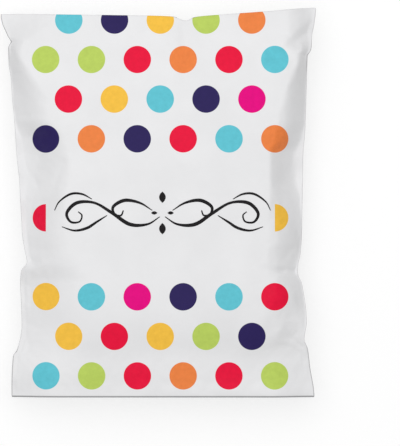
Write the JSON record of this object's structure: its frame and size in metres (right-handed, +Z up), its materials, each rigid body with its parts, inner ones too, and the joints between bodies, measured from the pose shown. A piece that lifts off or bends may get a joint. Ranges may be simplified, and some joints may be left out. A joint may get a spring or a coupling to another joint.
{
  "type": "poly mailer bag",
  "caption": "Softly filled white poly mailer with a folded and glued flap and a polka dot print, lying on its back.",
  "frame": {"origin": "under the middle of the bag's outline, on the surface that it lies on", "axes": "+X to the right of the printed face, +Y from the bottom fold to the top fold, +Z up, out of the printed face"},
  "size_m": [0.2522, 0.3114, 0.048],
  "materials": {
    "film": "white polyethylene film with a satin gloss and dots of coloured ink"
  },
  "bodies": {
    "root": {"mailer_bag": "film"}
  },
  "joints": []
}
